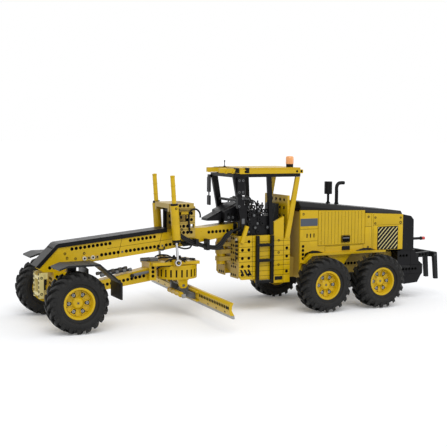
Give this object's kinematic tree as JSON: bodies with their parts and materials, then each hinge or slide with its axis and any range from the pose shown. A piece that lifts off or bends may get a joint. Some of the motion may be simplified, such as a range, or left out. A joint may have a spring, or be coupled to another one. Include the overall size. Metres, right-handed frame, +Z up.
{
  "type": "model motor grader",
  "caption": "Brick-built model of an articulated motor grader with steered front wheels, tandem rear wheels, a cab, and a blade on a turning circle under the front beam.",
  "frame": {"origin": "on the ground under the middle of the whole model", "axes": "+X forward towards the nose, +Y to the left of the machine, +Z up"},
  "size_m": [0.8738, 0.4436, 0.302],
  "materials": {
    "yellow": "glossy moulded",
    "tan": "glossy moulded",
    "black": "glossy moulded",
    "dark_grey": "glossy moulded",
    "light_grey": "glossy moulded",
    "rubber": "soft black",
    "silver": "silver lacquer",
    "orange": "clear tinted"
  },
  "bodies": {
    "rear_frame": {"air_intake": "black", "beacon": "orange", "cab_floor": "dark_grey", "cab_frame": "dark_grey", "cab_ladder_left": "black", "cab_ladder_right": "black", "cab_rear_wall": "yellow", "cab_roof": "yellow", "cab_skirt_left": "yellow", "cab_skirt_right": "yellow", "control_pod": "black", "counterweight": "black", "dash_console": "dark_grey", "engine": "dark_grey", "exhaust_pipe": "black", "hood_cover": "black", "hood_side_left": "yellow", "hood_side_right": "yellow", "radiator_housing": "black", "rear_frame": "tan", "seat": "black", "tandem_housing_left": "dark_grey", "tandem_housing_right": "dark_grey"},
    "steer_left": {"knuckle_left": "dark_grey", "fender_left": "dark_grey"},
    "hood_door_left": {"hood_door_left": "yellow"},
    "lift_barrel_left": {"lift_barrel_left": "yellow"},
    "lift_rod_left": {"lift_rod_left": "silver"},
    "wheel_front_left": {"tyre_front_left": "rubber", "rim_front_left": "yellow"},
    "wheel_middle_left": {"tyre_middle_left": "rubber", "rim_middle_left": "yellow"},
    "wheel_rear_left": {"tyre_rear_left": "rubber", "rim_rear_left": "yellow"},
    "steer_right": {"knuckle_right": "dark_grey", "fender_right": "dark_grey"},
    "hood_door_right": {"hood_door_right": "yellow"},
    "lift_barrel_right": {"lift_barrel_right": "yellow"},
    "lift_rod_right": {"lift_rod_right": "silver"},
    "wheel_front_right": {"tyre_front_right": "rubber", "rim_front_right": "yellow"},
    "wheel_middle_right": {"tyre_middle_right": "rubber", "rim_middle_right": "yellow"},
    "wheel_rear_right": {"tyre_rear_right": "rubber", "rim_rear_right": "yellow"},
    "front_frame": {"main_beam": "yellow", "beam_cover": "black", "nose_bracket": "tan", "front_axle": "yellow", "lift_saddle": "tan", "beam_hoses": "black"},
    "drawbar": {"drawbar": "yellow", "circle_drive": "dark_grey", "drawbar_hose": "black"},
    "circle": {"circle": "yellow"},
    "blade_carrier": {"blade_carrier": "light_grey", "shift_cylinder": "yellow"},
    "blade": {"blade": "yellow", "cutting_edge": "light_grey"},
    "ripper": {"ripper": "dark_grey"}
  },
  "joints": [
    {"name": "articulation", "type": "hinge", "parent": "rear_frame", "child": "front_frame", "pos_m": [0.058, 0, 0.116], "axis": [0, 0, 1], "range_deg": [-20, 20]},
    {"name": "steering_left", "type": "hinge", "parent": "front_frame", "child": "steer_left", "pos_m": [0.3828, 0.062, 0.0535], "axis": [0, 0, 1], "range_deg": [-25, 25]},
    {"name": "front_wheel_left", "type": "hinge", "parent": "steer_left", "child": "wheel_front_left", "pos_m": [0.3828, 0.099, 0.0535], "axis": [0, 1, 0], "continuous": true},
    {"name": "middle_wheel_left", "type": "hinge", "parent": "rear_frame", "child": "wheel_middle_left", "pos_m": [-0.118, 0.099, 0.0535], "axis": [0, 1, 0], "continuous": true},
    {"name": "rear_wheel_left", "type": "hinge", "parent": "rear_frame", "child": "wheel_rear_left", "pos_m": [-0.246, 0.099, 0.0535], "axis": [0, 1, 0], "continuous": true},
    {"name": "hood_door_left_hinge", "type": "hinge", "parent": "rear_frame", "child": "hood_door_left", "pos_m": [-0.182, 0.056, 0.19173], "axis": [1, 0, 0], "range_deg": [0, 80]},
    {"name": "steering_right", "type": "hinge", "parent": "front_frame", "child": "steer_right", "pos_m": [0.3828, -0.062, 0.0535], "axis": [0, 0, 1], "range_deg": [-25, 25]},
    {"name": "front_wheel_right", "type": "hinge", "parent": "steer_right", "child": "wheel_front_right", "pos_m": [0.3828, -0.099, 0.0535], "axis": [0, 1, 0], "continuous": true},
    {"name": "middle_wheel_right", "type": "hinge", "parent": "rear_frame", "child": "wheel_middle_right", "pos_m": [-0.118, -0.099, 0.0535], "axis": [0, 1, 0], "continuous": true},
    {"name": "rear_wheel_right", "type": "hinge", "parent": "rear_frame", "child": "wheel_rear_right", "pos_m": [-0.246, -0.099, 0.0535], "axis": [0, 1, 0], "continuous": true},
    {"name": "hood_door_right_hinge", "type": "hinge", "parent": "rear_frame", "child": "hood_door_right", "pos_m": [-0.182, -0.056, 0.19173], "axis": [-1, 0, 0], "range_deg": [0, 80]},
    {"name": "ripper_lift", "type": "hinge", "parent": "rear_frame", "child": "ripper", "pos_m": [-0.39, 0, 0.09], "axis": [0, -1, 0], "range_deg": [-25, 30]},
    {"name": "drawbar_lift", "type": "hinge", "parent": "front_frame", "child": "drawbar", "pos_m": [0.358, 0, 0.057], "axis": [0, 1, 0], "range_deg": [-3.8, 3.5]},
    {"name": "circle_turn", "type": "hinge", "parent": "drawbar", "child": "circle", "pos_m": [0.153, 0, 0.097], "axis": [0, 0, 1], "range_deg": [-30, 30]},
    {"name": "blade_tilt", "type": "hinge", "parent": "circle", "child": "blade_carrier", "pos_m": [0.15101, 0.00014, 0.059], "axis": [0.0698, 0.9976, 0], "range_deg": [-10, 10]},
    {"name": "blade_shift", "type": "slide", "parent": "blade_carrier", "child": "blade", "axis": [0.0698, 0.9976, 0], "range_m": [-0.02, 0.02]},
    {"name": "lift_barrel_left_swing", "type": "hinge", "parent": "front_frame", "child": "lift_barrel_left", "pos_m": [0.1758, 0.0435, 0.206], "axis": [0, 1, 0], "range_deg": [-3, 3]},
    {"name": "lift_rod_left_slide", "type": "slide", "parent": "lift_barrel_left", "child": "lift_rod_left", "axis": [0.0714, 0, 0.9974], "range_m": [-0.014, 0.014]},
    {"name": "lift_barrel_right_swing", "type": "hinge", "parent": "front_frame", "child": "lift_barrel_right", "pos_m": [0.1758, -0.0435, 0.206], "axis": [0, 1, 0], "range_deg": [-3, 3]},
    {"name": "lift_rod_right_slide", "type": "slide", "parent": "lift_barrel_right", "child": "lift_rod_right", "axis": [0.0714, 0, 0.9974], "range_m": [-0.014, 0.014]}
  ],
  "couplings": [
    {"joint": "steering_right", "follows": "steering_left", "ratio": 1},
    {"joint": "lift_barrel_left_swing", "follows": "drawbar_lift", "ratio": -0.3173},
    {"joint": "lift_rod_left_slide", "follows": "drawbar_lift", "m_per_rad": 0.192},
    {"joint": "lift_barrel_right_swing", "follows": "drawbar_lift", "ratio": -0.3173},
    {"joint": "lift_rod_right_slide", "follows": "drawbar_lift", "m_per_rad": 0.192}
  ]
}
